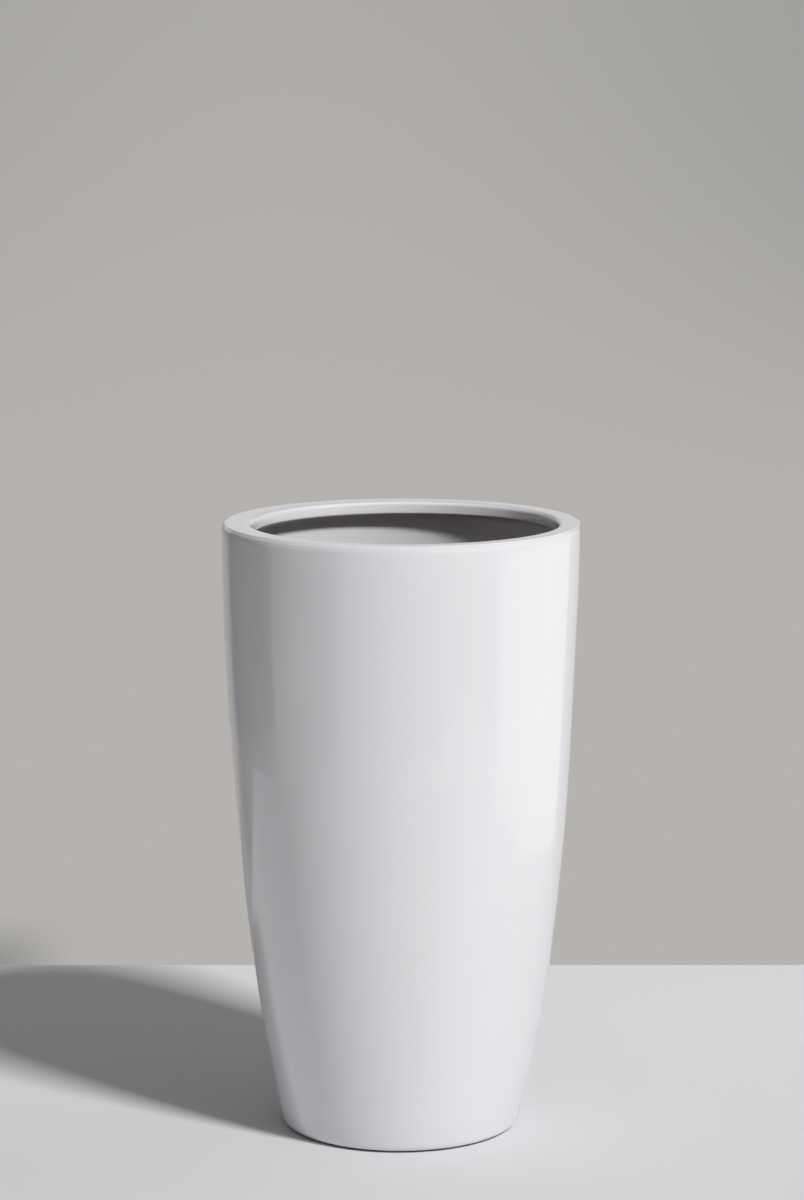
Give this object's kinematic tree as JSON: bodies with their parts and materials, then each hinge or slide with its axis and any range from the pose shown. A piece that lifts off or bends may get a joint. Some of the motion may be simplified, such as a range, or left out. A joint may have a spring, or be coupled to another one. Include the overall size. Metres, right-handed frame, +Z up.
{
  "type": "glazed planter",
  "caption": "Tall round glazed clay planter with a curved taper, a rolled lip over an undercut hollow, a lift-out drain plug and rubber feet.",
  "frame": {"origin": "on the floor, under the middle of the pot", "axes": "+Z up along the pot's axis; -Y faces the front view; +X is to the right in that view"},
  "size_m": [0.4, 0.3998, 0.688],
  "materials": {
    "clay": "bare fired terracotta, matt and slightly gritty",
    "white_glaze": "white gloss glaze, smooth with a faint hand-dipped waviness",
    "inner_coat": "white glaze for the top 50 mm, and a thin brown satin wash below it",
    "plug_rubber": "moulded black rubber",
    "foot_rubber": "dark grey stick-on rubber"
  },
  "bodies": {
    "pot": {"clay_body": "clay", "outer_glaze": "white_glaze", "inner_glaze": "inner_coat", "rubber_feet": "foot_rubber"},
    "plug": {"drain_plug": "plug_rubber"}
  },
  "joints": [
    {"name": "plug_lift", "type": "slide", "parent": "pot", "child": "plug", "axis": [0, 0, 1], "range_m": [0, 0.72]}
  ]
}
